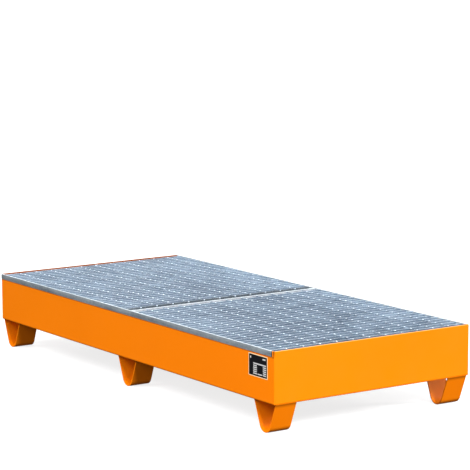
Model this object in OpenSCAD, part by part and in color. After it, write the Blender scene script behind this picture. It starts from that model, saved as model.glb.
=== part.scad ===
// Spill containment pallet for a row of three steel drums.
// A welded, powder-coated sump tray on six bent-strip feet carries two loose galvanised gratings.
// X runs along the length, Y across the depth (front is -Y) and Z up from the floor.

/* [Tray] */
// Outside length of the tray
tray_l = 1800; // [1700:10:1900]
// Outside depth of the tray
tray_w = 800; // [700:10:900]
// Height from the floor to the top of the end walls and gratings
overall_h = 275; // [240:5:350]
// Thickness of the tray sheet
sheet_t = 3; // [2:0.5:4]
// Outer radius of the bends along the bottom
bottom_bend_r = 6; // [5:1:12]
// Outer radius of the bends along the rim of the long walls
rim_bend_r = 4; // [4:0.5:6]
// Outer radius of the four upright corners
corner_r = 4; // [4:0.5:8]
// Depth of the rim flange that the gratings rest on, from the outer face
flange_w = 43; // [30:1:60]
// Width of the returns folded round the edges of each end wall
return_w = 13; // [10:1:20]

/* [Feet] */
// Height of the feet
foot_h = 100; // [80:5:120]
// Width of a foot where it meets the tray
foot_top_w = 122; // [100:2:140]
// Length of a foot across the pallet
foot_len = 80; // [60:5:100]
// Outer radius of a foot's rounded bottom
foot_r = 32; // [20:1:40]
// Thickness of the foot strip
foot_t = 4; // [3:0.5:5]
// Distance from a long face to the end of a foot
foot_side_inset = 8; // [4:1:20]
// Distance from an end face to the top of the outermost leg
foot_end_inset = 2; // [1:1:10]

/* [Gratings] */
// Height of the bands along the front and rear of each grating
band_h = 20; // [16:1:24]
// Thickness of the bands
band_t = 3; // [2:0.5:4]
// Full height of a bearing bar between the rim flanges
bar_h = 30; // [26:1:40]
// Thickness of a bearing bar
bar_t = 2; // [2:0.5:3]
// Thickness of the first and last bar of each grating
end_bar_t = 3; // [2:0.5:5]
// Spacing of the bearing bars
bar_pitch = 33.3; // [30:0.1:34]
// Spacing of the cross rods
rod_pitch = 66.6; // [60:0.1:70]
// Thickness of the square cross rods
rod_s = 5; // [4:0.5:6]
// Number of bars in the left grating
left_bars = 27; // [20:1:28]
// Number of bars in the right grating
right_bars = 26; // [20:1:26]
// Distance from an end face to the centre of the outermost bar
end_bar_inset = 31; // [20:1:40]
// Gap between the bands and the right end wall
panel_gap = 4; // [3:0.5:8]
// Gap between the two gratings
seam_gap = 1; // [0.5:0.5:4]

/* [Data plate] */
// Length of the plate
plate_l = 105; // [60:1:120]
// Height of the plate
plate_h = 73; // [40:1:80]
// Thickness of the plate
plate_t = 0.8; // [0.5:0.1:1.5]
// Distance from the right end face to the plate
plate_end_inset = 38; // [20:1:60]
// Distance from the rim of the front wall down to the plate
plate_drop = 5; // [5:1:20]

/* [Hidden] */
$fn = 64;
rim_z = overall_h - band_h;        // top of the long walls
rest_gap = 0.3;                    // air between a grating and the flange below it
band_z = rim_z + rest_gap;
flange_y = tray_w/2 - flange_w;    // inner edge of the rim flanges
bar_y = flange_y - 2;              // deep part of a bar, with play between the flanges
bar_end_y = tray_w/2 - band_t;     // a bar ends on the inner face of the band
bar_z = overall_h - bar_h;
notch_z = overall_h - rod_s;       // floor of the notches that hold the cross rods
rod_rows = floor((bar_end_y - rod_s)/rod_pitch);
body_end = tray_l/2 - return_w;    // where the folded shell meets the end walls
far = tray_l;                      // long enough to cut through everything

left_x0 = -tray_l/2 + end_bar_inset;
left_x1 = left_x0 + (left_bars - 1)*bar_pitch;
right_x1 = tray_l/2 - end_bar_inset;
right_x0 = right_x1 - (right_bars - 1)*bar_pitch;
seam_x = right_x0 - end_bar_t/2;   // the right grating's bands start flush with its first bar

// A leg leaves the rounded bottom as a tangent and reaches foot_top_w at the tray.
leg_run = foot_top_w/2;
leg_rise = foot_h - foot_r;
leg_angle = acos(foot_r/norm([leg_run, leg_rise])) - atan2(leg_rise, leg_run);
leg_lap = 2;                       // legs run this far up beside the bends of the tray
foot_x = tray_l/2 - foot_end_inset - foot_top_w/2;
foot_y = tray_w/2 - foot_side_inset - foot_len/2;

coat = [0.95, 0.50, 0.02];
zinc = [0.66, 0.69, 0.71];

// Rectangle of width w between heights z0 and z1, with round lower and upper corners.
module outline(w, z0, z1, lower_r, upper_r) {
    translate([-w/2, z0 + lower_r]) square([w, z1 - z0 - lower_r - upper_r]);
    translate([-w/2 + lower_r, z0]) square([w - 2*lower_r, z1 - z0 - upper_r]);
    translate([-w/2 + upper_r, z0 + lower_r]) square([w - 2*upper_r, z1 - z0 - lower_r]);
    for (side = [-1, 1]) {
        if (lower_r > 0) translate([side*(w/2 - lower_r), z0 + lower_r]) circle(lower_r);
        if (upper_r > 0) translate([side*(w/2 - upper_r), z1 - upper_r]) circle(upper_r);
    }
}

// Stands a Y-Z outline up and extrudes it along X, centred.
module along_x(length) {
    rotate([90, 0, 90]) linear_extrude(length, center = true) children();
}

// Stands an X-Z outline up and extrudes it along Y, centred.
module along_y(length) {
    rotate([90, 0, 0]) linear_extrude(length, center = true) children();
}

// Solid block of the tray's shape, pulled in by inset on every side but the top.
module tray_block(inset) {
    z0 = foot_h + inset;
    z1 = overall_h + inset;
    bend_r = bottom_bend_r - inset;
    depth = tray_w - 2*inset;
    intersection() {
        along_x(far) outline(depth, z0, z1, bend_r, 0);
        along_y(far) outline(tray_l - 2*inset, z0, z1, bend_r, 0);
        linear_extrude(z1)
            outline(tray_l - 2*inset, -depth/2, depth/2, corner_r - inset, corner_r - inset);
    }
}

// Bottom, front wall, rear wall and both rim flanges, folded from one sheet.
module tray_shell() {
    color(coat) {
        along_x(2*body_end) difference() {
            outline(tray_w, foot_h, rim_z, bottom_bend_r, rim_bend_r);
            outline(tray_w - 2*sheet_t, foot_h + sheet_t, rim_z - sheet_t,
                    bottom_bend_r - sheet_t, rim_bend_r - sheet_t);
            translate([-flange_y, rim_z - 2*sheet_t]) square([2*flange_y, 3*sheet_t]);
        }
        for (side = [-1, 1], end = [-1, 1])
            flange_tongue(side, end);
    }
}

// The rim flange carries on past the fold, up to the inside of the end wall.
module flange_tongue(side, end) {
    tongue_l = return_w - sheet_t;
    tongue_w = flange_w - rim_bend_r;
    translate([end*(body_end + tongue_l/2), side*(flange_y + tongue_w/2), rim_z - sheet_t/2])
        cube([tongue_l, tongue_w, sheet_t], center = true);
}

// End wall with returns folded round the front, rear and bottom edges.
module end_wall(end) {
    difference() {
        intersection() {
            tray_block(0);
            translate([end*(body_end + far/2), 0, 0]) cube([far, 2*tray_w, 4*overall_h], center = true);
        }
        tray_block(sheet_t);
    }
}

// The left end wall is cut back at its top corners, so the bands run on to the end.
module left_end_wall() {
    wall_y = bar_end_y - 0.5;
    color(coat) difference() {
        end_wall(-1);
        for (side = [-1, 1])
            translate([-tray_l/2, side*(wall_y + tray_w/2), rim_z + overall_h/2])
                cube([4*return_w, tray_w, overall_h], center = true);
    }
}

module right_end_wall() {
    color(coat) end_wall(1);
}

// Area inside a foot's outline at a depth into the strip, up to leg_lap above the foot.
module foot_area(depth) {
    r = foot_r - depth;
    tangent_x = r*cos(leg_angle);
    tangent_z = foot_r - r*sin(leg_angle);
    top_z = foot_h + leg_lap;
    top_x = tangent_x + (top_z - tangent_z)*tan(leg_angle);
    translate([0, foot_r]) circle(r);
    polygon([[-tangent_x, tangent_z], [tangent_x, tangent_z], [top_x, top_z], [-top_x, top_z]]);
}

// Foot bent from strip to a round-bottomed V, open at both ends and coped to the tray.
module foot(column, side) {
    color(coat) difference() {
        translate([column*foot_x, side*foot_y, 0]) along_y(foot_len) difference() {
            foot_area(0);
            foot_area(foot_t);
            translate([-foot_top_w/2, foot_h + leg_lap]) square([foot_top_w, foot_t]);
        }
        tray_block(0);
    }
}

module front_left_foot() { foot(-1, -1); }
module front_middle_foot() { foot(0, -1); }
module front_right_foot() { foot(1, -1); }
module rear_left_foot() { foot(-1, 1); }
module rear_middle_foot() { foot(0, 1); }
module rear_right_foot() { foot(1, 1); }

// Blank plate bonded to the front wall near the right end.
module data_plate() {
    color([0.05, 0.05, 0.06])
        translate([tray_l/2 - plate_end_inset - plate_l, -tray_w/2 - plate_t, rim_z - plate_drop - plate_h])
            cube([plate_l, plate_t, plate_h]);
}

// Side outline of a bar: shallow over the flanges, deep between them, notched for the rods.
bar_outline = concat(
    [[-bar_end_y, overall_h], [-bar_end_y, band_z], [-bar_y, band_z], [-bar_y, bar_z],
     [bar_y, bar_z], [bar_y, band_z], [bar_end_y, band_z], [bar_end_y, overall_h]],
    [for (row = [rod_rows:-1:-rod_rows])
        each let (y = row*rod_pitch)
            [[y + rod_s/2, overall_h], [y + rod_s/2, notch_z],
             [y - rod_s/2, notch_z], [y - rod_s/2, overall_h]]]
);

module bar(x, thickness) {
    translate([x, 0, 0]) along_x(thickness) polygon(bar_outline);
}

// The bars between the first and the last one of a grating.
module bearing_bars(x0, count) {
    color(zinc) for (i = [1:count - 2]) bar(x0 + i*bar_pitch, bar_t);
}

module end_bar(x) {
    color(zinc) bar(x, end_bar_t);
}

// Square rods pressed into the notches, flush with the tops of the bars.
module cross_rods(x0, x1) {
    color(zinc) for (row = [-rod_rows:rod_rows])
        translate([x0 - end_bar_t/2, row*rod_pitch - rod_s/2, notch_z])
            cube([x1 - x0 + end_bar_t, rod_s, rod_s]);
}

// Flat band welded across the ends of the bars.
module band(x0, x1, side) {
    color(zinc) translate([x0, side*(tray_w/2 - band_t/2) - band_t/2, band_z])
        cube([x1 - x0, band_t, overall_h - band_z]);
}

module left_bearing_bars() { bearing_bars(left_x0, left_bars); }
module left_cross_rods() { cross_rods(left_x0, left_x1); }
module left_front_band() { band(-tray_l/2, seam_x - seam_gap, -1); }
module left_rear_band() { band(-tray_l/2, seam_x - seam_gap, 1); }
module left_outer_end_bar() { end_bar(left_x0); }
module left_inner_end_bar() { end_bar(left_x1); }

module right_bearing_bars() { bearing_bars(right_x0, right_bars); }
module right_cross_rods() { cross_rods(right_x0, right_x1); }
module right_front_band() { band(seam_x, body_end - panel_gap, -1); }
module right_rear_band() { band(seam_x, body_end - panel_gap, 1); }
module right_outer_end_bar() { end_bar(right_x1); }
module right_inner_end_bar() { end_bar(right_x0); }

tray_shell();
left_end_wall();
right_end_wall();
front_left_foot();
front_middle_foot();
front_right_foot();
rear_left_foot();
rear_middle_foot();
rear_right_foot();
data_plate();
left_bearing_bars();
left_cross_rods();
left_front_band();
left_rear_band();
left_outer_end_bar();
left_inner_end_bar();
right_bearing_bars();
right_cross_rods();
right_front_band();
right_rear_band();
right_outer_end_bar();
right_inner_end_bar();
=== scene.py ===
import math

import bmesh
import bpy
from mathutils import Matrix, Vector


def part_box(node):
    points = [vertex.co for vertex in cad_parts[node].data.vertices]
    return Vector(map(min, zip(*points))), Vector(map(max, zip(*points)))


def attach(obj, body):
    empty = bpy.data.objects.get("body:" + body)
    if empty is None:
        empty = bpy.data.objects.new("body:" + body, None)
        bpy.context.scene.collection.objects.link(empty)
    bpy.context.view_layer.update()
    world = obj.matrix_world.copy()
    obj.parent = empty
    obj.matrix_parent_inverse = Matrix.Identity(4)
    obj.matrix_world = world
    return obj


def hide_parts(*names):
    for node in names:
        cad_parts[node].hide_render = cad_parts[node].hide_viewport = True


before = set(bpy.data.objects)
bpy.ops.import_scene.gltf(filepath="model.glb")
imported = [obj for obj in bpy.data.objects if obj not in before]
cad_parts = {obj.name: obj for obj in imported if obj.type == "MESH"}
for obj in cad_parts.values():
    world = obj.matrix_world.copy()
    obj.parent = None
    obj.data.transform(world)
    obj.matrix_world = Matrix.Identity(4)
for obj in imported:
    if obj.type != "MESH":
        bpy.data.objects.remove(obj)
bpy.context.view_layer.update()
print("frame loaded:", len(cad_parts), "nodes")

mm = 0.001
scene = bpy.context.scene


def nodeBox(name):
    low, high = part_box(name)
    return Vector(low), Vector(high)


trayBottom = nodeBox("tray_shell")[0].z
rimTop = nodeBox("tray_shell")[1].z
foldEnd = nodeBox("tray_shell")[1].x
deckTop = nodeBox("right_end_wall")[1].z
endFace = nodeBox("right_end_wall")[1].x


def newObject(name, mesh):
    thing = bpy.data.objects.new(name, mesh)
    scene.collection.objects.link(thing)
    return thing


def plainMesh(thing, name):
    # the evaluated result as a mesh of its own; the working object goes
    bpy.context.view_layer.update()
    graph = bpy.context.evaluated_depsgraph_get()
    mesh = bpy.data.meshes.new_from_object(thing.evaluated_get(graph))
    mesh.name = name
    bpy.data.objects.remove(thing)
    return newObject(name, mesh)


def smoothByAngle(mesh, degrees):
    mesh.shade_smooth()
    mesh.set_sharp_from_angle(angle=math.radians(degrees))


sharpFrom = math.radians(32)   # edges that turn more than this are eased


def easeEdges(thing, width, segments, byWeight=False):
    bevel = thing.modifiers.new("easedEdges", "BEVEL")
    bevel.width = width
    bevel.segments = segments
    bevel.limit_method = "WEIGHT" if byWeight else "ANGLE"
    bevel.angle_limit = sharpFrom
    bevel.use_clamp_overlap = True
    bevel.miter_outer = "MITER_ARC"


def weightedNormals(thing):
    weighted = thing.modifiers.new("evenShading", "WEIGHTED_NORMAL")
    weighted.keep_sharp = True


def boxMesh(name, low, high):
    shape = bmesh.new()
    bmesh.ops.create_cube(shape, size=1)
    size = high - low
    middle = (high + low) / 2
    for point in shape.verts:
        point.co = Vector((point.co[i] * size[i] + middle[i] for i in range(3)))
    mesh = bpy.data.meshes.new(name)
    shape.to_mesh(mesh)
    shape.free()
    return mesh


def plateMesh(name, outline, thickness, place):
    # a flat outline, which place stands up and thickens
    shape = bmesh.new()
    corners = [shape.verts.new(place(y, z, -thickness / 2)) for y, z in outline]
    face = shape.faces.new(corners)
    made = bmesh.ops.extrude_face_region(shape, geom=[face])
    moved = [part for part in made["geom"] if isinstance(part, bmesh.types.BMVert)]
    bmesh.ops.translate(shape, verts=moved, vec=place(0, 0, thickness) - place(0, 0, 0))
    bmesh.ops.recalc_face_normals(shape, faces=shape.faces)
    mesh = bpy.data.meshes.new(name)
    shape.to_mesh(mesh)
    shape.free()
    return mesh


def newMaterial(name, colour, roughness, metallic=0.0):
    material = bpy.data.materials.new(name)
    material.use_nodes = True
    shader = material.node_tree.nodes["Principled BSDF"]
    shader.inputs["Base Color"].default_value = (*colour, 1)
    shader.inputs["Roughness"].default_value = roughness
    shader.inputs["Metallic"].default_value = metallic
    return material, material.node_tree, shader


def addNode(tree, kind, **settings):
    made = tree.nodes.new(kind)
    for key, value in settings.items():
        if key in made.inputs:
            made.inputs[key].default_value = value
        else:
            setattr(made, key, value)
    return made


def objectCoordinates(tree, stretch=(1, 1, 1)):
    place = addNode(tree, "ShaderNodeTexCoord")
    mapping = addNode(tree, "ShaderNodeMapping")
    mapping.inputs["Scale"].default_value = stretch
    tree.links.new(place.outputs["Object"], mapping.inputs["Vector"])
    return mapping.outputs["Vector"]


def splitAxes(tree, vector):
    made = addNode(tree, "ShaderNodeSeparateXYZ")
    tree.links.new(vector, made.inputs[0])
    return made.outputs["X"], made.outputs["Z"]


def noise(tree, vector, scale, detail=3.0, roughness=0.5):
    made = addNode(tree, "ShaderNodeTexNoise", Scale=scale, Detail=detail, Roughness=roughness)
    tree.links.new(vector, made.inputs["Vector"])
    return made.outputs["Fac"]


def remap(tree, value, low, high, toLow=0.0, toHigh=1.0):
    made = addNode(tree, "ShaderNodeMapRange")
    made.inputs["From Min"].default_value = low
    made.inputs["From Max"].default_value = high
    made.inputs["To Min"].default_value = toLow
    made.inputs["To Max"].default_value = toHigh
    tree.links.new(value, made.inputs["Value"])
    return made.outputs["Result"]


def within(tree, value, low, high, soft):
    # one between low and high, nought outside
    above = remap(tree, value, low, low + soft)
    below = remap(tree, value, high, high - soft)
    return maths(tree, "MULTIPLY", above, below)


def maths(tree, operation, first, second):
    made = addNode(tree, "ShaderNodeMath", operation=operation)
    for socket, value in zip(made.inputs, (first, second)):
        if isinstance(value, (int, float)):
            socket.default_value = value
        else:
            tree.links.new(value, socket)
    return made.outputs[0]


def mixColour(tree, factor, first, second):
    made = addNode(tree, "ShaderNodeMix", data_type="RGBA")
    sockets = (made.inputs["Factor"], made.inputs[6], made.inputs[7])
    for socket, value in zip(sockets, (factor, first, second)):
        if isinstance(value, bpy.types.NodeSocket):
            tree.links.new(value, socket)
        elif isinstance(value, tuple):
            socket.default_value = (*value, 1)
        else:
            socket.default_value = value
    return made.outputs[2]


def bump(tree, shader, height, strength, distance):
    made = addNode(tree, "ShaderNodeBump", Strength=strength, Distance=distance)
    tree.links.new(height, made.inputs["Height"])
    tree.links.new(made.outputs["Normal"], shader.inputs["Normal"])


coat = {
    "orange": (0.72, 0.168, 0.0006),
    "deepOrange": (0.67, 0.150, 0.0004),
    "roughness": 0.42,
    "specular": 0.09,
    "cloudSize": 2.3,               # sizes of noise are in waves per metre
    "cloudShare": 0.35,
    "speckleSize": 900,
    "speckleShare": 0.2,
    "hazeSize": 14,
    "peelSize": 420,
    "peelStrength": 0.18,
    # painted highlight for the top edge of the right end wall
    "edgeHighlight": (0.95, 0.50, 0.16),
    "edgeHighlightDepth": 1.8 * mm,          # the painted highlight reaches down to here on the right end wall
    "edgeHighlightShare": 0.45,
    # painted shade, for the inner faces of the end walls, the gap under the bands and the corners on the
    # feet
    "paintedShade": (0.13, 0.030, 0.0005),
    "innerShadeFrom": 23 * mm,             # the painted shade on the inner faces of the end walls starts this far under the deck
    "innerShadeFull": 9 * mm,
    "innerShadeShare": 0.95,
    "innerFace": (7 * mm, 1.2 * mm),   # the inner face of an end wall is this far from its outside
    "faceSoft": 0.6 * mm,
    "gapHeights": (-4.5 * mm, 2.5 * mm),   # the painted shade line under the bands, from the top of the rim
    "gapSoft": 1.5 * mm,
    "gapEnd": 0.4 * mm,
    "gapShare": 0.55,
    "scuffed": (0.30, 0.15, 0.07),
    "scuffTop": 4 * mm,             # the feet are scuffed up to here
    "gritSize": 160,
    "paintedShadeDepths": (14 * mm, 0.8 * mm),   # painted shade on the feet, from the bottom of the tray
    "paintedShadeShare": 0.85,
    "paintedShadeCurve": 1.6,
}


def coatColour(tree, place):
    cloud = remap(tree, noise(tree, place, coat["cloudSize"], 4.0), 0.35, 0.65)
    speckle = remap(tree, noise(tree, place, coat["speckleSize"], 2.0), 0.3, 0.7)
    tone = maths(tree, "ADD", maths(tree, "MULTIPLY", cloud, coat["cloudShare"]),
                 maths(tree, "MULTIPLY", speckle, coat["speckleShare"]))
    return mixColour(tree, tone, coat["orange"], coat["deepOrange"])


def topEdgeHighlight(tree, x, z):
    # painted highlight along the top edge of the right end wall
    low = deckTop - coat["edgeHighlightDepth"]
    top = remap(tree, z, low, low + mm, 0.0, coat["edgeHighlightShare"])
    return maths(tree, "MULTIPLY", top, remap(tree, x, 0.0, 0.1))


def innerFaceShade(tree, fromMiddle, z):
    # painted shade along the top of the inner faces of the end walls, darker towards the top
    low, high = (endFace - depth for depth in coat["innerFace"])
    height = remap(tree, z, deckTop - coat["innerShadeFrom"], deckTop - coat["innerShadeFull"], 0.0, coat["innerShadeShare"])
    return maths(tree, "MULTIPLY", within(tree, fromMiddle, low, high, coat["faceSoft"]), height)


def bandGapShade(tree, fromMiddle, z):
    # painted shade: a dark line in the gap under the bands
    low, high = (rimTop + height for height in coat["gapHeights"])
    end = foldEnd - coat["gapEnd"]
    length = remap(tree, fromMiddle, end, end - coat["faceSoft"], 0.0, coat["gapShare"])
    return maths(tree, "MULTIPLY", within(tree, z, low, high, coat["gapSoft"]), length)


def footShade(tree, z):
    # painted shade in the corner under the tray, on the feet only
    low, high = (trayBottom - depth for depth in coat["paintedShadeDepths"])
    seam = remap(tree, z, low, high, 0.0, coat["paintedShadeShare"])
    onFeet = remap(tree, z, trayBottom, trayBottom - 0.4 * mm)
    return maths(tree, "MULTIPLY", maths(tree, "POWER", seam, coat["paintedShadeCurve"]), onFeet)


def powderCoat():
    material, tree, shader = newMaterial("orangePowderCoat", coat["orange"], coat["roughness"])
    shader.inputs["Specular IOR Level"].default_value = coat["specular"]
    place = objectCoordinates(tree)
    x, z = splitAxes(tree, place)
    fromMiddle = maths(tree, "ABSOLUTE", x, 0)
    # painted highlight on the top edge of the right end wall
    colour = mixColour(tree, topEdgeHighlight(tree, x, z), coatColour(tree, place), coat["edgeHighlight"])
    # painted shade on the inner faces of the end walls, in the gap under the bands and in the corners on
    # the feet
    for share in (innerFaceShade(tree, fromMiddle, z), bandGapShade(tree, fromMiddle, z), footShade(tree, z)):
        colour = mixColour(tree, share, colour, coat["paintedShade"])
    # scuffs where the feet slide on the floor
    grit = remap(tree, noise(tree, place, coat["gritSize"], 5.0, 0.7), 0.45, 0.6)
    scuff = maths(tree, "MULTIPLY", remap(tree, z, coat["scuffTop"], 0.0), grit)
    tree.links.new(mixColour(tree, scuff, colour, coat["scuffed"]), shader.inputs["Base Color"])
    haze = remap(tree, noise(tree, place, coat["hazeSize"], 5.0, 0.6), 0.3, 0.7,
                 coat["roughness"] - 0.05, coat["roughness"] + 0.08)
    rough = maths(tree, "ADD", haze, maths(tree, "MULTIPLY", scuff, 0.3))
    tree.links.new(rough, shader.inputs["Roughness"])
    bump(tree, shader, noise(tree, place, coat["peelSize"], 2.0), coat["peelStrength"], 0.4 * mm)
    return material


zincLook = {
    # the dark blue-grey body is partly the zinc's own tone, partly painted shade between the bars and a
    # painted blue reflection
    "light": (0.200, 0.280, 0.362),
    "dark": (0.062, 0.098, 0.148),
    # worn bright tops, also standing as a painted highlight
    "rubbedAndHighlight": (0.76, 0.84, 0.90),
    # painted shade in the gap at the right end of a band
    "endShade": (0.03, 0.02, 0.012),
    "endShadeShare": 0.9,
    "endShadeEnd": 0.4 * mm,            # the painted shade covers this much of the end of a band
    "endShadeSoft": 0.6 * mm,
    "spangle": 110,                 # crystals per metre
    "cloudSize": 9,
    "patchSize": 35,
    "waveSize": 260,
    "shares": (0.35, 0.35, 0.3),    # crystals, clouds and streaks in the tone
    "rubbedAndHighlightTo": 0.2 * mm,           # the rubbing and painted highlight are full from this far under the deck
}


def zincTone(tree, cell, cloud, stretch):
    streak = remap(tree, noise(tree, objectCoordinates(tree, stretch), 1.0, 5.0, 0.6), 0.35, 0.65)
    parts = [maths(tree, "MULTIPLY", part, share)
             for part, share in zip((cell, cloud, streak), zincLook["shares"])]
    return maths(tree, "ADD", maths(tree, "ADD", parts[0], parts[1]), parts[2])


def galvanised(name, stretch, tint, rubAndHighlightDepth, metallic, endShadeFrom=None):
    material, tree, shader = newMaterial(name, zincLook["light"], 0.42, metallic)
    place = objectCoordinates(tree)
    x, z = splitAxes(tree, place)
    crystals = addNode(tree, "ShaderNodeTexVoronoi", Scale=zincLook["spangle"])
    tree.links.new(place, crystals.inputs["Vector"])
    grey = addNode(tree, "ShaderNodeRGBToBW")
    tree.links.new(crystals.outputs["Color"], grey.inputs[0])
    cell = grey.outputs[0]
    cloud = remap(tree, noise(tree, place, zincLook["cloudSize"], 4.0, 0.6), 0.3, 0.7)
    dark = tuple(channel * share for channel, share in zip(zincLook["dark"], tint))
    light = tuple(channel * share for channel, share in zip(zincLook["light"], tint))
    body = mixColour(tree, zincTone(tree, cell, cloud, stretch), dark, light)
    if endShadeFrom is not None:
        # painted shade in the gap at the end next to the right end wall
        endShade = remap(tree, x, endShadeFrom - zincLook["endShadeSoft"], endShadeFrom)
        body = mixColour(tree, maths(tree, "MULTIPLY", endShade, zincLook["endShadeShare"]), body, zincLook["endShade"])
    # drums and trolleys have rubbed the tops bright, and the lighter tops are also a painted highlight
    high = remap(tree, z, deckTop - rubAndHighlightDepth, deckTop - zincLook["rubbedAndHighlightTo"])
    patch = remap(tree, noise(tree, place, zincLook["patchSize"], 4.0, 0.6), 0.25, 0.6, 0.6, 1.0)
    worn = maths(tree, "MULTIPLY", high, patch)
    tree.links.new(mixColour(tree, worn, body, zincLook["rubbedAndHighlight"]), shader.inputs["Base Color"])
    dull = maths(tree, "ADD", maths(tree, "MULTIPLY", cell, 0.12), remap(tree, cloud, 0, 1, 0.30, 0.42))
    rough = maths(tree, "SUBTRACT", dull, maths(tree, "MULTIPLY", worn, 0.08))
    tree.links.new(rough, shader.inputs["Roughness"])
    ripple = noise(tree, place, zincLook["waveSize"], 3.0)
    wave = maths(tree, "ADD", maths(tree, "MULTIPLY", cell, 0.4), ripple)
    bump(tree, shader, wave, 0.25, 0.3 * mm)
    return material


orangeCoat = powderCoat()
bandEnd = nodeBox("right_front_band")[1].x - zincLook["endShadeEnd"]
# each with the stretch of its streaks, its tint, how far down its tops are rubbed and lightened as a
# painted highlight, and how metallic it is
barZinc = galvanised("galvanisedBars", (60.0, 3.0, 60.0), (1.0, 1.0, 1.0), 0.8 * mm, 0.74)
# a darker copy of the bar zinc, as painted shade at the seam
seamShadeZinc = galvanised("galvanisedSeamShade", (60.0, 3.0, 60.0), (0.50, 0.46, 0.42), 0.5 * mm, 0.60)
rodZinc = galvanised("galvanisedRods", (3.0, 60.0, 60.0), (1.2, 1.2, 1.2), 0.8 * mm, 0.92)
bandZinc = galvanised("galvanisedBands", (3.0, 60.0, 140.0), (2.0, 1.58, 1.28), 2.0 * mm, 0.45, bandEnd)
# brighter, and lightened far down its height, so the blobs' upper halves carry a painted highlight
weldZinc = galvanised("galvanisedWelds", (40.0, 40.0, 40.0), (1.7, 1.7, 1.7), 3.8 * mm, 0.90)
print("materials made")


def newTree(name, sockets):
    tree = bpy.data.node_groups.new(name, "GeometryNodeTree")
    tree.interface.new_socket("Geometry", in_out="INPUT", socket_type="NodeSocketGeometry")
    for label, kind in sockets:
        tree.interface.new_socket(label, in_out="INPUT", socket_type="NodeSocket" + kind)
    tree.interface.new_socket("Geometry", in_out="OUTPUT", socket_type="NodeSocketGeometry")
    return tree, tree.nodes.new("NodeGroupInput"), tree.nodes.new("NodeGroupOutput")


def finishTree(tree, given, result, geometry):
    realize = tree.nodes.new("GeometryNodeRealizeInstances")
    paint = tree.nodes.new("GeometryNodeSetMaterial")
    tree.links.new(geometry, realize.inputs[0])
    tree.links.new(realize.outputs[0], paint.inputs["Geometry"])
    tree.links.new(given.outputs["Finish"], paint.inputs["Material"])
    tree.links.new(paint.outputs[0], result.inputs[0])


def runTree(tree, name, values, host=None):
    thing = host or newObject(name + "Host", bpy.data.meshes.new(name + "Host"))
    modifier = thing.modifiers.new(tree.name, "NODES")
    modifier.node_group = tree
    for socket in tree.interface.items_tree:
        if socket.in_out == "INPUT" and socket.name in values:
            modifier[socket.identifier] = values[socket.name]
    return plainMesh(thing, name)


def rowTree():
    # copies of one object in a straight row
    tree, given, result = newTree("repeatInRow", [
        ("Item", "Object"), ("Count", "Int"), ("Start", "Vector"), ("Step", "Vector"),
        ("Finish", "Material")])
    line = tree.nodes.new("GeometryNodeMeshLine")
    item = tree.nodes.new("GeometryNodeObjectInfo")
    place = tree.nodes.new("GeometryNodeInstanceOnPoints")
    for label, socket in (("Count", "Count"), ("Start", "Start Location"), ("Step", "Offset")):
        tree.links.new(given.outputs[label], line.inputs[socket])
    tree.links.new(given.outputs["Item"], item.inputs["Object"])
    tree.links.new(line.outputs[0], place.inputs["Points"])
    tree.links.new(item.outputs["Geometry"], place.inputs["Instance"])
    finishTree(tree, given, result, place.outputs[0])
    return tree


def rodTree():
    # square rods twisted along X, in rows along Y
    tree, given, result = newTree("twistedRods", [
        ("Rows", "Int"), ("Start", "Vector"), ("End", "Vector"), ("Row Step", "Vector"),
        ("Side", "Float"), ("Edge", "Float"), ("Turns", "Float"), ("Ring Spacing", "Float"),
        ("Finish", "Material")])
    line = tree.nodes.new("GeometryNodeCurvePrimitiveLine")
    rings = addNode(tree, "GeometryNodeResampleCurve", mode="LENGTH")
    along = tree.nodes.new("GeometryNodeSplineParameter")
    tilt = tree.nodes.new("GeometryNodeSetCurveTilt")
    square = tree.nodes.new("GeometryNodeCurvePrimitiveQuadrilateral")
    soften = addNode(tree, "GeometryNodeFilletCurve", mode="POLY", Count=1)
    sweep = tree.nodes.new("GeometryNodeCurveToMesh")
    sweep.inputs["Fill Caps"].default_value = True
    rows = tree.nodes.new("GeometryNodeMeshLine")
    place = tree.nodes.new("GeometryNodeInstanceOnPoints")
    link = tree.links.new
    link(given.outputs["Start"], line.inputs["Start"])
    link(given.outputs["End"], line.inputs["End"])
    link(line.outputs[0], rings.inputs["Curve"])
    link(given.outputs["Ring Spacing"], rings.inputs["Length"])
    turns = maths(tree, "MULTIPLY", along.outputs["Factor"], given.outputs["Turns"])
    link(rings.outputs[0], tilt.inputs["Curve"])
    link(maths(tree, "MULTIPLY", turns, math.tau), tilt.inputs["Tilt"])
    link(given.outputs["Side"], square.inputs["Width"])
    link(given.outputs["Side"], square.inputs["Height"])
    link(square.outputs[0], soften.inputs["Curve"])
    link(given.outputs["Edge"], soften.inputs["Radius"])
    link(tilt.outputs[0], sweep.inputs["Curve"])
    link(soften.outputs[0], sweep.inputs["Profile Curve"])
    link(given.outputs["Rows"], rows.inputs["Count"])
    link(given.outputs["Row Step"], rows.inputs["Offset"])
    link(rows.outputs[0], place.inputs["Points"])
    link(sweep.outputs[0], place.inputs["Instance"])
    finishTree(tree, given, result, place.outputs[0])
    return tree


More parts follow.
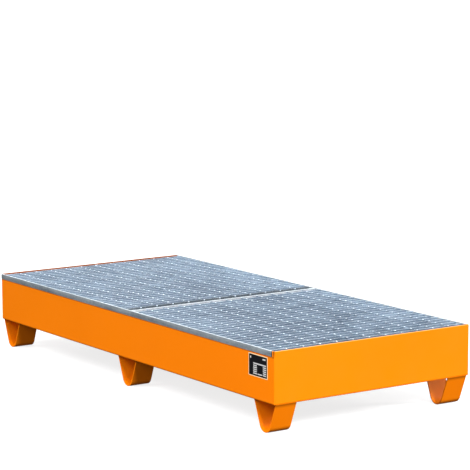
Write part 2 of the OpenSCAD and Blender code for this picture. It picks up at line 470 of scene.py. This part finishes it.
def blobTree():
    # small zinc-covered weld blobs on a grid of crossings, each a little different
    tree, given, result = newTree("weldBlobs", [
        ("Columns", "Int"), ("Rows", "Int"), ("Start", "Vector"), ("Column Step", "Vector"),
        ("Row Step", "Vector"), ("Size", "Vector"), ("Spread", "Float"), ("Seed", "Int"),
        ("Finish", "Material")])
    columns = tree.nodes.new("GeometryNodeMeshLine")
    rows = tree.nodes.new("GeometryNodeMeshLine")
    grid = tree.nodes.new("GeometryNodeInstanceOnPoints")
    flat = tree.nodes.new("GeometryNodeRealizeInstances")
    ball = addNode(tree, "GeometryNodeMeshIcoSphere", Subdivisions=2, Radius=1.0)
    turn = addNode(tree, "FunctionNodeRandomValue", data_type="FLOAT_VECTOR")
    turn.inputs[0].default_value = (-0.1, -0.1, -0.2)
    turn.inputs[1].default_value = (0.1, 0.1, 0.2)
    grow = tree.nodes.new("FunctionNodeRandomValue")
    grow.inputs[3].default_value = 1.0
    scale = addNode(tree, "ShaderNodeVectorMath", operation="SCALE")
    place = tree.nodes.new("GeometryNodeInstanceOnPoints")
    smooth = tree.nodes.new("GeometryNodeSetShadeSmooth")
    link = tree.links.new
    link(given.outputs["Columns"], columns.inputs["Count"])
    link(given.outputs["Start"], columns.inputs["Start Location"])
    link(given.outputs["Column Step"], columns.inputs["Offset"])
    link(given.outputs["Rows"], rows.inputs["Count"])
    link(given.outputs["Row Step"], rows.inputs["Offset"])
    link(columns.outputs[0], grid.inputs["Points"])
    link(rows.outputs[0], grid.inputs["Instance"])
    link(grid.outputs[0], flat.inputs[0])
    link(flat.outputs[0], place.inputs["Points"])
    link(ball.outputs[0], smooth.inputs[0])
    link(smooth.outputs[0], place.inputs["Instance"])
    link(given.outputs["Seed"], turn.inputs["Seed"])
    link(given.outputs["Seed"], grow.inputs["Seed"])
    link(maths(tree, "SUBTRACT", 1.0, given.outputs["Spread"]), grow.inputs[2])
    link(given.outputs["Size"], scale.inputs[0])
    link(grow.outputs[1], scale.inputs["Scale"])
    link(turn.outputs[0], place.inputs["Rotation"])
    link(scale.outputs[0], place.inputs["Scale"])
    finishTree(tree, given, result, place.outputs[0])
    return tree


def beadTree():
    # a weld bead: overlapping ripples along a path of edges
    tree, given, result = newTree("weldBead", [
        ("Ripple Pitch", "Float"), ("Size", "Vector"), ("Seed", "Int"), ("Finish", "Material")])
    curve = tree.nodes.new("GeometryNodeMeshToCurve")
    points = addNode(tree, "GeometryNodeCurveToPoints", mode="LENGTH")
    ball = addNode(tree, "GeometryNodeMeshUVSphere", Segments=8, Rings=6, Radius=1.0)
    grow = tree.nodes.new("FunctionNodeRandomValue")
    grow.inputs[2].default_value = 0.85
    grow.inputs[3].default_value = 1.0
    scale = addNode(tree, "ShaderNodeVectorMath", operation="SCALE")
    place = tree.nodes.new("GeometryNodeInstanceOnPoints")
    smooth = tree.nodes.new("GeometryNodeSetShadeSmooth")
    link = tree.links.new
    link(given.outputs["Geometry"], curve.inputs[0])
    link(curve.outputs[0], points.inputs["Curve"])
    link(given.outputs["Ripple Pitch"], points.inputs["Length"])
    link(points.outputs["Points"], place.inputs["Points"])
    link(points.outputs["Rotation"], place.inputs["Rotation"])
    link(ball.outputs[0], smooth.inputs[0])
    link(smooth.outputs[0], place.inputs["Instance"])
    link(given.outputs["Seed"], grow.inputs["Seed"])
    link(given.outputs["Size"], scale.inputs[0])
    link(grow.outputs[1], scale.inputs["Scale"])
    link(scale.outputs[0], place.inputs["Scale"])
    finishTree(tree, given, result, place.outputs[0])
    return tree


repeatInRow = rowTree()
twistedRods = rodTree()
weldBlobs = blobTree()
weldBead = beadTree()
print("node trees built")


sheet = {
    "edge": 1.3 * mm,       # rounding that the powder leaves on a free edge
    "cutEdge": 0.6,         # share of it on the other edges
    "jointEdge": 0.2,       # share of it where two sheets are welded and dressed flush
    "footEdge": 1.0 * mm,
    "steps": 3,
    "near": 0.1 * mm,       # points closer than this count as level
    "merge": 0.01 * mm,
    "flat": 0.5,            # degrees under which two faces are one
    "smooth": 40,
}


def easeShare(shape, joints):
    # how much of the rounding each edge gets: free rims all of it, dressed joints hardly any
    share = shape.edges.layers.float.new("bevel_weight_edge")
    rim = max(point.co.z for point in shape.verts)
    for edge in shape.edges:
        if len(edge.link_faces) != 2 or edge.calc_face_angle(0) < sharpFrom:
            continue
        ends = [point.co for point in edge.verts]
        if any(all(abs(abs(end.x) - joint) < sheet["near"] for end in ends) for joint in joints):
            edge[share] = sheet["jointEdge"]
        elif all(rim - end.z < sheet["near"] for end in ends):
            edge[share] = 1.0
        else:
            edge[share] = sheet["cutEdge"]


def sheetPiece(node, name, edge, joints=()):
    # the same shape with the cut edges rounded over by the coat
    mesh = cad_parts[node].data.copy()
    shape = bmesh.new()
    shape.from_mesh(mesh)
    bmesh.ops.remove_doubles(shape, verts=shape.verts, dist=sheet["merge"])
    bmesh.ops.dissolve_limit(shape, angle_limit=math.radians(sheet["flat"]), verts=shape.verts,
                             edges=shape.edges)
    easeShare(shape, joints)
    shape.to_mesh(mesh)
    shape.free()
    mesh.materials.clear()
    mesh.materials.append(orangeCoat)
    thing = newObject(name + "Work", mesh)
    easeEdges(thing, edge, sheet["steps"], byWeight=True)
    made = plainMesh(thing, name)
    smoothByAngle(made.data, sheet["smooth"])
    weightedNormals(made)
    made = plainMesh(made, name)
    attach(made, "tray")
    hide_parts(node)


sheetJoint = nodeBox("right_end_wall")[0].x
sheetNodes = {"tray_shell": "trayShell", "left_end_wall": "leftEndWall", "right_end_wall": "rightEndWall"}
for node, name in sheetNodes.items():
    sheetPiece(node, name, sheet["edge"], [sheetJoint])
feet = []
for row in ("front", "rear"):
    for column in ("left", "middle", "right"):
        feet.append(row + "_" + column + "_foot")
        sheetPiece(feet[-1], row + column.title() + "Foot", sheet["footEdge"])
print("painted sheet metal made")


weld = {
    "pitch": 2.4 * mm,
    "size": (2.1 * mm, 2.4 * mm, 2.4 * mm),
    "innerPitch": 3.2 * mm,
    "innerSize": (2.6 * mm, 3.0 * mm, 3.0 * mm),
    "sheetThickness": 3 * mm,
    "bend": 4 * mm,
    "legDepth": 5.2 * mm,      # from the outside to the inside of a leg, measured along X
    "endGap": 2 * mm,          # a bead stops this far from the end of a foot
    "faceGap": 5 * mm,         # legs nearer the end face than this have no bead outside
}


def pathMesh(name, paths):
    mesh = bpy.data.meshes.new(name)
    points = [point for path in paths for point in path]
    edges = []
    first = 0
    for path in paths:
        edges += [(first + i, first + i + 1) for i in range(len(path) - 1)]
        first += len(path)
    mesh.from_pydata(points, edges, [])
    return mesh


def footWelds():
    paths = []
    for node in feet:
        low, high = nodeBox(node)
        middle = (low.x + high.x) / 2
        for side in (-1, 1):
            top = middle + side * (high.x - low.x) / 2
            for x in (top, top - side * weld["legDepth"]):
                if abs(x) < endFace - weld["faceGap"]:
                    paths.append([Vector((x, low.y + weld["endGap"], trayBottom)),
                                  Vector((x, high.y - weld["endGap"], trayBottom))])
    return paths


def cornerWelds():
    inner = weld["sheetThickness"]
    bend = weld["bend"]
    x = endFace - inner
    y = nodeBox("tray_shell")[1].y - inner
    z = trayBottom + inner
    top = rimTop - 2 * inner
    paths = []
    for end in (-1, 1):
        corner = [Vector((end * x, -y, top)), Vector((end * x, -y, z + bend))]
        corner += [Vector((end * x, -y + bend, z)), Vector((end * x, y - bend, z))]
        corner += [Vector((end * x, y, z + bend)), Vector((end * x, y, top))]
        paths.append(corner)
    return paths


def weldPiece(name, paths, pitch, size, seed):
    host = newObject(name + "Path", pathMesh(name, paths))
    made = runTree(weldBead, name, {
        "Ripple Pitch": pitch, "Size": size, "Seed": seed, "Finish": orangeCoat}, host)
    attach(made, "tray")


weldPiece("footWelds", footWelds(), weld["pitch"], weld["size"], 3)
weldPiece("cornerWelds", cornerWelds(), weld["innerPitch"], weld["innerSize"], 5)
print("weld beads laid")


grating = {
    "rodRows": 5,              # rows of rods each side of the middle
    "rodPitch": 66.6 * mm,
    "barPitch": 33.3 * mm,
    "barThickness": 2 * mm,
    "barEdge": 0.6 * mm,
    "deepInset": 42 * mm,      # the deep part of a bar stops this far from its ends
    "endBarEdge": 1.1 * mm,
    "bandEdge": 1.4 * mm,
    "bandEndShare": 0.25,      # the other edges of a band are this much sharper
    "rodSide": 3.8 * mm,
    "rodEdge": 0.5 * mm,
    "rodSink": 0.64,           # share of its side that a rod's middle lies under its top, as it twists
    "rodDrop": 1.3 * mm,       # the twisted rods lie this far under the tops of the bars
    "twist": 52 * mm,          # length of one full turn
    "ringSpacing": 3.2 * mm,
    "sink": 0.3 * mm,          # bars lie this far under the tops of the weld blobs
    "blob": (5.0 * mm, 3.8 * mm, 2.3 * mm),
    "blobSink": 1.12,          # share of its height that a blob's middle lies under the deck
    "blobSpread": 0.12,
    "endWeld": (2.0 * mm, 3.0 * mm, 4.6 * mm),
    "endWeldDepth": 9 * mm,
    "endWeldSpread": 0.2,
    "smooth": 35,
}

# painted shade on the left grating's bar at the seam, and a painted highlight on the bar it meets there,
# which takes the lighter band zinc
seamBars = {"left_inner_end_bar": seamShadeZinc, "right_inner_end_bar": bandZinc}


def barProfile(low, high, deepY, shallowZ, top):
    # shallow over the rim flanges, deep between them
    return [(low.y, top), (low.y, shallowZ), (-deepY, shallowZ), (-deepY, low.z),
            (deepY, low.z), (deepY, shallowZ), (high.y, shallowZ), (high.y, top)]


def makeBar(name, node, thickness, x, edge):
    low, high = nodeBox(node)
    shallowZ = nodeBox("left_front_band")[0].z
    outline = barProfile(low, high, high.y - grating["deepInset"], shallowZ, high.z - grating["sink"])
    mesh = plateMesh(name, outline, thickness, lambda y, z, t: Vector((x + t, y, z)))
    thing = newObject(name, mesh)
    easeEdges(thing, edge, 2)
    return thing


def joinGrating(thing, side, material, node=None):
    thing.data.materials.clear()
    thing.data.materials.append(material)
    smoothByAngle(thing.data, grating["smooth"])
    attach(thing, side + "_grating")
    if node:
        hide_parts(node)


def bearingBars(side, firstX, count):
    node = side + "_bearing_bars"
    bar = makeBar(side + "BarPattern", node, grating["barThickness"], 0, grating["barEdge"])
    bars = runTree(repeatInRow, side + "BearingBars", {
        "Item": bar, "Count": count, "Start": (firstX, 0, 0),
        "Step": (grating["barPitch"], 0, 0), "Finish": barZinc})
    bpy.data.objects.remove(bar)
    joinGrating(bars, side, barZinc, node)


def endBars(side):
    for end in ("outer", "inner"):
        node = side + "_" + end + "_end_bar"
        name = side + end.title() + "EndBar"
        low, high = nodeBox(node)
        bar = makeBar(name + "Work", node, high.x - low.x, (low.x + high.x) / 2, grating["endBarEdge"])
        joinGrating(plainMesh(bar, name), side, seamBars.get(node, barZinc), node)


def crossRods(side, rows, firstY):
    node = side + "_cross_rods"
    low, high = nodeBox(node)
    rodZ = high.z - grating["sink"] - grating["rodDrop"] - grating["rodSide"] * grating["rodSink"]
    rods = runTree(twistedRods, side + "CrossRods", {
        "Rows": rows, "Start": (low.x, firstY, rodZ), "End": (high.x, firstY, rodZ),
        "Row Step": (0, grating["rodPitch"], 0), "Side": grating["rodSide"], "Edge": grating["rodEdge"],
        "Turns": (high.x - low.x) / grating["twist"], "Ring Spacing": grating["ringSpacing"],
        "Finish": rodZinc})
    joinGrating(rods, side, rodZinc, node)


def bands(side):
    for row in ("front", "rear"):
        node = side + "_" + row + "_band"
        name = side + row.title() + "Band"
        low, high = nodeBox(node)
        band = newObject(name + "Work", boxMesh(name, low, high))
        share = band.data.attributes.new("bevel_weight_edge", "FLOAT", "EDGE")
        for edge in band.data.edges:
            ends = [band.data.vertices[i].co for i in edge.vertices]
            top = all(high.z - end.z < sheet["near"] for end in ends)
            lengthwise = abs(ends[0].x - ends[1].x) > mm
            share.data[edge.index].value = 1.0 if top and lengthwise else grating["bandEndShare"]
        easeEdges(band, grating["bandEdge"], 3, byWeight=True)
        joinGrating(plainMesh(band, name), side, bandZinc, node)


def blobs(side, name, columns, rows, start, rowStep, size, spread, seed):
    made = runTree(weldBlobs, side + name, {
        "Columns": columns, "Rows": rows, "Start": start,
        "Column Step": (grating["barPitch"], 0, 0), "Row Step": (0, rowStep, 0),
        "Size": size, "Spread": spread, "Seed": seed, "Finish": weldZinc})
    joinGrating(made, side, weldZinc)


def makeGrating(side, seed):
    low, high = nodeBox(side + "_bearing_bars")
    count = round((high.x - low.x) / grating["barPitch"]) + 1
    rows = 2 * grating["rodRows"] + 1
    firstX = low.x + grating["barThickness"] / 2
    firstY = -grating["rodRows"] * grating["rodPitch"]
    bearingBars(side, firstX, count)
    endBars(side)
    crossRods(side, rows, firstY)
    bands(side)
    # the blobs also sit on the end bars, one step before and after the others
    firstX -= grating["barPitch"]
    deck = nodeBox(side + "_cross_rods")[1].z
    blobZ = deck - grating["blob"][2] * grating["blobSink"]
    blobs(side, "CrossingWelds", count + 2, rows, (firstX, firstY, blobZ),
          grating["rodPitch"], grating["blob"], grating["blobSpread"], seed)
    blobs(side, "BandWelds", count + 2, 2, (firstX, -high.y, deck - grating["endWeldDepth"]),
          2 * high.y, grating["endWeld"], grating["endWeldSpread"], seed + 1)


makeGrating("left", 11)
makeGrating("right", 23)
print("gratings made")


plate = {
    "corner": 2.5 * mm,
    "cellCorner": 0.3 * mm,
    "arcSteps": 5,
    "border": 2.6 * mm,
    "baseDepth": 0.45 * mm,
    "panelDepth": 0.15 * mm,
    "cellDepth": 0.1 * mm,
    "pale": (0.66, 0.50, 0.31),
    "black": (0.0025, 0.0025, 0.004),
    "grey": (0.42, 0.42, 0.42),
    # blank fields: left, bottom, right and top as fractions of the black panel
    "header": (0.24, 0.56, 0.95, 0.62),
    "footer": (0.48, 0.08, 0.74, 0.13),
    "mark": (0.76, 0.84, 0.92, 0.91),
    "note": (0.06, 0.80, 0.12, 0.90),
    "rows": 5,
    "rowSides": ((0.24, 0.44), (0.78, 0.95)),
    "rowBottom": 0.08,
    "rowStep": 0.095,
    "rowHeight": 0.055,
}


def roundedOutline(low, high, radius):
    points = []
    corners = [(high[0], high[1], 0), (low[0], high[1], 90), (low[0], low[1], 180), (high[0], low[1], 270)]
    for x, z, start in corners:
        centreX = x - radius if x == high[0] else x + radius
        centreZ = z - radius if z == high[1] else z + radius
        for step in range(plate["arcSteps"] + 1):
            angle = math.radians(start + 90 * step / plate["arcSteps"])
            points.append((centreX + radius * math.cos(angle), centreZ + radius * math.sin(angle)))
    return points


def plateInk(name, colour, roughness):
    material, tree, shader = newMaterial(name, colour, roughness)
    shader.inputs["Specular IOR Level"].default_value = 0.25
    place = objectCoordinates(tree)
    worn = remap(tree, noise(tree, place, 240, 4.0, 0.6), 0.3, 0.8)
    faded = tuple(channel * 1.25 + 0.003 for channel in colour)
    tree.links.new(mixColour(tree, worn, colour, faded), shader.inputs["Base Color"])
    haze = remap(tree, noise(tree, place, 60, 4.0), 0.3, 0.7, roughness - 0.06, roughness + 0.1)
    tree.links.new(haze, shader.inputs["Roughness"])
    return material


def platePart(name, low, high, radius, back, front, ink):
    middle = (back + front) / 2
    outline = roundedOutline(low, high, radius)
    mesh = plateMesh(name, outline, front - back, lambda x, z, t: Vector((x, -middle - t, z)))
    mesh.materials.append(ink)
    return newObject(name, mesh)


def plateFields():
    fields = [plate["header"]]
    for row in range(plate["rows"]):
        z = plate["rowBottom"] + row * plate["rowStep"]
        for left, right in plate["rowSides"]:
            fields.append((left, z, right, z + plate["rowHeight"]))
    return fields + [plate["footer"], plate["mark"], plate["note"]]


def makePlate():
    low, high = nodeBox("data_plate")
    wall = -high.y                       # distance of the wall's face from the middle
    face = wall + plate["baseDepth"]
    panel = face + plate["panelDepth"]
    top = panel + plate["cellDepth"]
    pale = plateInk("platePale", plate["pale"], 0.45)
    black = plateInk("plateBlack", plate["black"], 0.35)
    grey = plateInk("plateGrey", plate["grey"], 0.5)
    inset = plate["border"]
    left, bottom = low.x + inset, low.z + inset
    width, height = high.x - inset - left, high.z - inset - bottom
    parts = [
        platePart("plateBase", (low.x, low.z), (high.x, high.z), plate["corner"], wall, face, pale),
        platePart("plateField", (left, bottom), (left + width, bottom + height), plate["corner"] / 2,
                  face, panel, black)]
    for x0, z0, x1, z1 in plateFields():
        start = (left + x0 * width, bottom + z0 * height)
        end = (left + x1 * width, bottom + z1 * height)
        parts.append(platePart("plateCell", start, end, plate["cellCorner"], panel, top, grey))
    bpy.ops.object.select_all(action="DESELECT")
    for part in parts:
        part.select_set(True)
    bpy.context.view_layer.objects.active = parts[0]
    bpy.ops.object.join()
    made = bpy.context.view_layer.objects.active
    made.name = "dataPlate"
    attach(made, "tray")
    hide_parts("data_plate")


makePlate()
print("data plate made")


studio = {
    "floorSize": 300,
    "floorColour": (0.25, 0.25, 0.25),
    "floorGlow": 0.80,         # keeps the shadows pale
    "horizon": 0.35,
    "overhead": 0.95,          # the soft light overhead is this much brighter
    "below": 0.06,             # light returned by the ground
    "suns": {
        "keySun": {"from": (0.95, -0.06, 0.70), "power": 4.7, "softness": 20},
        "frontSun": {"from": (-0.06, -0.85, 0.84), "power": 3.0, "softness": 24},
        "rimSun": {"from": (-0.80, 0.46, 0.34), "power": 0.7, "softness": 14},
        # reaches into the far foot
        "rearSun": {"from": (0.30, 0.90, 0.30), "power": 3.7, "softness": 12},
    },
    "backdrop": 0.2,           # the paper behind, on the rear left, shines this much more
    "backdropWay": (-0.82, 0.57, 0.05),
    "backdropEdge": (0.55, 0.95),
    "horizonLow": -0.04,       # the light grows from here up to the horizon
    "fill": {"place": (2.6, -3.6, 1.6), "aim": (0.5, 0, 0.15), "size": 2.4, "power": 70},
}


def aim(thing, direction):
    thing.rotation_euler = Vector(direction).to_track_quat("-Z", "Y").to_euler()


def addLight(name, kind, power):
    light = bpy.data.lights.new(name, kind)
    light.energy = power
    thing = bpy.data.objects.new(name, light)
    scene.collection.objects.link(thing)
    return thing


def makeFloor():
    half = studio["floorSize"] / 2
    mesh = bpy.data.meshes.new("floor")
    corners = [(-half, -half, 0), (half, -half, 0), (half, half, 0), (-half, half, 0)]
    mesh.from_pydata(corners, [], [(0, 1, 2, 3)])
    material, _, shader = newMaterial("floorPaint", studio["floorColour"], 0.9)
    shader.inputs["Specular IOR Level"].default_value = 0.1
    shader.inputs["Emission Color"].default_value = (1, 1, 1, 1)
    shader.inputs["Emission Strength"].default_value = studio["floorGlow"]
    mesh.materials.append(material)
    floor = newObject("floor", mesh)
    # the floor shows and takes shadows, but the light from below comes from the world
    floor.visible_diffuse = False
    floor.visible_glossy = False
    floor.visible_shadow = False


def makeWorld():
    world = bpy.data.worlds.new("softWhite")
    world.use_nodes = True
    tree = world.node_tree
    tree.nodes["Background"].inputs["Color"].default_value = (1, 1, 1, 1)
    # brighter overhead, as under a large soft light
    way = addNode(tree, "ShaderNodeTexCoord").outputs["Generated"]
    z = splitAxes(tree, way)[1]
    up = maths(tree, "MAXIMUM", z, 0.0)
    glow = maths(tree, "MULTIPLY", maths(tree, "MULTIPLY", up, up), studio["overhead"])
    edge = remap(tree, z, studio["horizonLow"], 0.0, studio["below"], studio["horizon"])
    facing = addNode(tree, "ShaderNodeVectorMath", operation="DOT_PRODUCT")
    tree.links.new(way, facing.inputs[0])
    facing.inputs[1].default_value = studio["backdropWay"]
    behind = remap(tree, facing.outputs["Value"], *studio["backdropEdge"], 0.0, studio["backdrop"])
    behind = maths(tree, "MULTIPLY", behind, remap(tree, z, studio["horizonLow"], 0.02))
    strength = maths(tree, "ADD", maths(tree, "ADD", glow, edge), behind)
    tree.links.new(strength, tree.nodes["Background"].inputs["Strength"])
    scene.world = world


def makeLights():
    for name, values in studio["suns"].items():
        sun = addLight(name, "SUN", values["power"])
        sun.data.angle = math.radians(values["softness"])
        aim(sun, -Vector(values["from"]))
    values = studio["fill"]
    fill = addLight("fill", "AREA", values["power"])
    fill.data.size = values["size"]
    fill.location = values["place"]
    fill.visible_camera = False
    aim(fill, Vector(values["aim"]) - fill.location)


camera = {
    "place": (6.4324, -4.3303, 1.6704),
    "azimuth": 55.654,
    "tilt": 8.579,
    "roll": -0.105,
    "lens": 168.36,
    "sensor": 36,
}


def makeCamera():
    data = bpy.data.cameras.new("camera")
    data.lens = camera["lens"]
    data.sensor_width = camera["sensor"]
    data.clip_end = 400
    thing = bpy.data.objects.new("camera", data)
    scene.collection.objects.link(thing)
    turn = math.radians(camera["azimuth"])
    tilt = math.radians(camera["tilt"])
    ahead = Vector((-math.sin(turn) * math.cos(tilt), math.cos(turn) * math.cos(tilt), -math.sin(tilt)))
    level = ahead.to_track_quat("-Z", "Y").to_matrix().to_4x4()
    thing.matrix_world = Matrix.Translation(camera["place"]) @ level @ Matrix.Rotation(
        math.radians(camera["roll"]), 4, "Z")
    scene.camera = thing


makeFloor()
makeWorld()
makeLights()
makeCamera()
scene.view_settings.view_transform = "Standard"
print("studio ready")
